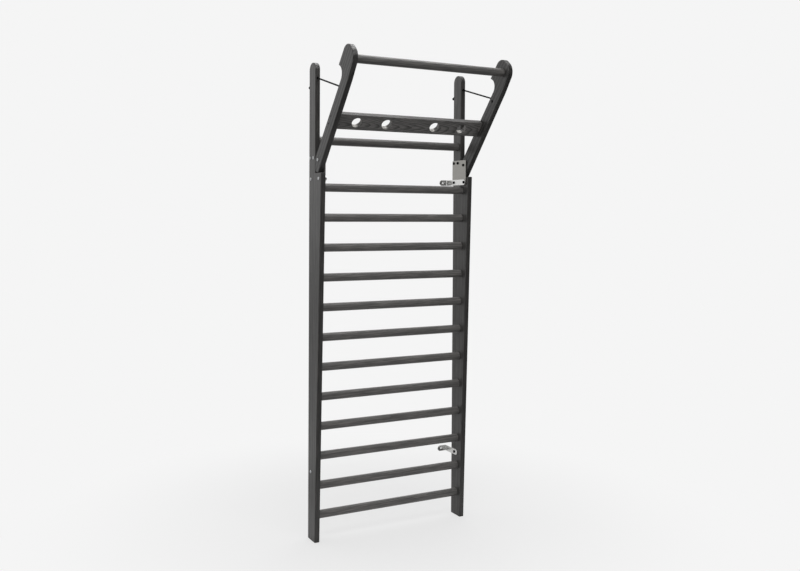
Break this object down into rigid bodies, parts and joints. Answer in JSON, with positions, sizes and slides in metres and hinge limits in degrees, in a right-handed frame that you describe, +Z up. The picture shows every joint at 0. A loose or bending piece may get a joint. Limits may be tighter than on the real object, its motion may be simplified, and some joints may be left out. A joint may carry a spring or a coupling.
{
  "type": "wall bars",
  "caption": "Wooden wall bars on wall brackets: stepped uprights with round rungs, and above them a pull-up bar and hook board in a frame that folds out on stay cables.",
  "frame": {"origin": "on the wall, at floor level, midway between the uprights", "axes": "+X to the right as seen from the room, +Y into the wall, +Z up"},
  "size_m": [0.8246, 0.5377, 2.2638],
  "materials": {
    "stained_ash": "ash stained black, open grain, oiled",
    "stainless_steel": "brushed",
    "black_steel": "black oxide",
    "zinc_plated_steel": "bright zinc",
    "bronze": "sintered",
    "wire_rope": "twisted steel wire, dark"
  },
  "bodies": {
    "wall_frame": {"left_upright": "stained_ash", "right_upright": "stained_ash", "rung_01": "stained_ash", "rung_02": "stained_ash", "rung_03": "stained_ash", "rung_04": "stained_ash", "rung_05": "stained_ash", "rung_06": "stained_ash", "rung_07": "stained_ash", "rung_08": "stained_ash", "rung_09": "stained_ash", "rung_10": "stained_ash", "rung_11": "stained_ash", "rung_12": "stained_ash", "upper_rung": "stained_ash", "left_pivot_plate": "stainless_steel", "left_upper_wall_bracket": "stainless_steel", "left_lower_wall_bracket": "stainless_steel", "right_pivot_plate": "stainless_steel", "right_upper_wall_bracket": "stainless_steel", "right_lower_wall_bracket": "stainless_steel", "left_top_plate_bolt_1": "black_steel", "left_top_plate_bolt_2": "black_steel", "left_strap_plate_bolt_1": "black_steel", "left_strap_plate_bolt_2": "black_steel", "left_lower_bracket_bolt": "black_steel", "left_pivot_bolt": "black_steel", "right_top_plate_bolt_1": "black_steel", "right_top_plate_bolt_2": "black_steel", "right_strap_plate_bolt_1": "black_steel", "right_strap_plate_bolt_2": "black_steel", "right_lower_bracket_bolt": "black_steel", "right_pivot_bolt": "black_steel", "left_cable_stop": "black_steel", "right_cable_stop": "black_steel", "left_top_plate_nut_1": "zinc_plated_steel", "left_top_plate_nut_2": "zinc_plated_steel", "left_strap_plate_nut_1": "zinc_plated_steel", "left_strap_plate_nut_2": "zinc_plated_steel", "left_lower_bracket_nut": "zinc_plated_steel", "left_pivot_nut": "zinc_plated_steel", "right_top_plate_nut_1": "zinc_plated_steel", "right_top_plate_nut_2": "zinc_plated_steel", "right_strap_plate_nut_1": "zinc_plated_steel", "right_strap_plate_nut_2": "zinc_plated_steel", "right_lower_bracket_nut": "zinc_plated_steel", "right_pivot_nut": "zinc_plated_steel", "left_stay_cable": "wire_rope", "right_stay_cable": "wire_rope"},
    "pull_up_frame": {"left_arm": "stained_ash", "right_arm": "stained_ash", "pull_up_bar": "stained_ash", "hook_board": "stained_ash", "left_pivot_bush": "bronze", "right_pivot_bush": "bronze", "left_cable_dowel": "black_steel", "right_cable_dowel": "black_steel"}
  },
  "joints": [
    {"name": "frame_fold", "type": "hinge", "parent": "wall_frame", "child": "pull_up_frame", "pos_m": [0, -0.159, 1.785], "axis": [-1, 0, 0], "range_deg": [0, 41], "deforming": ["left_stay_cable", "right_stay_cable"]}
  ]
}
